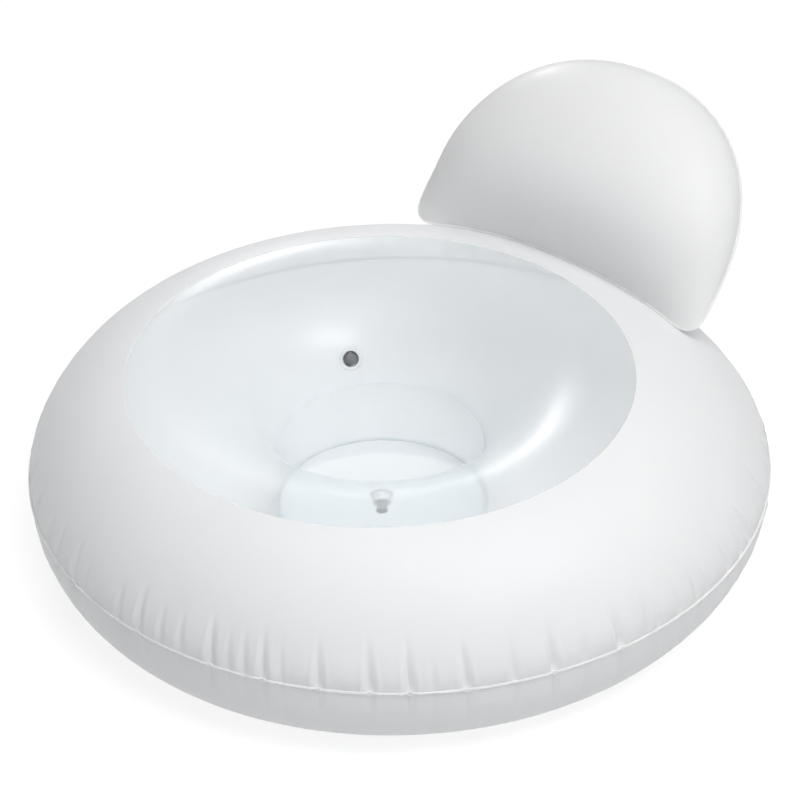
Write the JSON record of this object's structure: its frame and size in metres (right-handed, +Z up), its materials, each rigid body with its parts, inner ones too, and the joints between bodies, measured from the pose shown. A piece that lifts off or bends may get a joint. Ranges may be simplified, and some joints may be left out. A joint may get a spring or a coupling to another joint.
{
  "type": "inflatable lounge chair",
  "caption": "Round inflatable lounge chair: a white air ring with a clear recessed bowl seat and a round air cushion leaning back behind it.",
  "frame": {"origin": "middle of the bounding box, on the floor that the chair stands on", "axes": "+Z up, +Y towards the backrest, +X to the right of a person who faces the backrest"},
  "size_m": [1.167, 1.2504, 0.5746],
  "materials": {
    "white_vinyl": "satin white flexible vinyl sheet",
    "clear_vinyl": "clear flexible vinyl sheet with a faint blue cast",
    "valve_vinyl": "soft translucent grey moulded vinyl",
    "plug_vinyl": "soft grey moulded vinyl"
  },
  "bodies": {
    "chair": {"ring_top_sheet": "white_vinyl", "ring_bottom_sheet": "white_vinyl", "seat_sheet": "clear_vinyl", "inner_wall": "clear_vinyl", "seat_floor": "clear_vinyl", "backrest_front_panel": "white_vinyl", "backrest_rear_panel": "white_vinyl", "bowl_rear_valve_base": "valve_vinyl", "bowl_front_valve_base": "valve_vinyl", "backrest_valve_base": "valve_vinyl"},
    "bowl_rear_stem": {"bowl_rear_valve_stem": "valve_vinyl"},
    "bowl_rear_plug": {"bowl_rear_valve_plug": "plug_vinyl"},
    "bowl_rear_flap": {"bowl_rear_valve_flap": "plug_vinyl"},
    "bowl_front_stem": {"bowl_front_valve_stem": "valve_vinyl"},
    "bowl_front_plug": {"bowl_front_valve_plug": "plug_vinyl"},
    "bowl_front_flap": {"bowl_front_valve_flap": "plug_vinyl"},
    "backrest_stem": {"backrest_valve_stem": "valve_vinyl"},
    "backrest_plug": {"backrest_valve_plug": "plug_vinyl"},
    "backrest_flap": {"backrest_valve_flap": "plug_vinyl"}
  },
  "joints": [
    {"name": "bowl_rear_stem_pull", "type": "slide", "parent": "chair", "child": "bowl_rear_stem", "axis": [0.6692, -0.4685, 0.5768], "range_m": [0, 0.0115]},
    {"name": "bowl_rear_plug_hinge", "type": "hinge", "parent": "bowl_rear_stem", "child": "bowl_rear_plug", "pos_m": [-0.15152, 0.02039, 0.25416], "axis": [-0.5736, -0.8191, 0], "range_deg": [0, 120]},
    {"name": "bowl_rear_flap_hinge", "type": "hinge", "parent": "bowl_rear_stem", "child": "bowl_rear_flap", "pos_m": [-0.1688, 0.03249, 0.2329], "axis": [0.5736, 0.8191, 0], "range_deg": [0, 40], "stiffness_Nm_per_rad": 0.002},
    {"name": "bowl_front_stem_pull", "type": "slide", "parent": "chair", "child": "bowl_front_stem", "axis": [-0.5827, 0.6944, 0.4223], "range_m": [0, 0.0115]},
    {"name": "bowl_front_plug_hinge", "type": "hinge", "parent": "bowl_front_stem", "child": "bowl_front_plug", "pos_m": [0.11311, -0.22051, 0.24241], "axis": [0.766, 0.6428, 0], "range_deg": [0, 120]},
    {"name": "bowl_front_flap_hinge", "type": "hinge", "parent": "bowl_front_stem", "child": "bowl_front_flap", "pos_m": [0.12889, -0.23931, 0.22524], "axis": [-0.766, -0.6428, 0], "range_deg": [0, 40], "stiffness_Nm_per_rad": 0.002},
    {"name": "backrest_stem_pull", "type": "slide", "parent": "chair", "child": "backrest_stem", "axis": [0, 0.7222, -0.6917], "range_m": [0, 0.0115]},
    {"name": "backrest_plug_hinge", "type": "hinge", "parent": "backrest_stem", "child": "backrest_plug", "pos_m": [0, 0.56577, 0.3806], "axis": [1, 0, 0], "range_deg": [0, 120]},
    {"name": "backrest_flap_hinge", "type": "hinge", "parent": "backrest_stem", "child": "backrest_flap", "pos_m": [0, 0.54087, 0.39725], "axis": [-1, 0, 0], "range_deg": [0, 40], "stiffness_Nm_per_rad": 0.002}
  ]
}
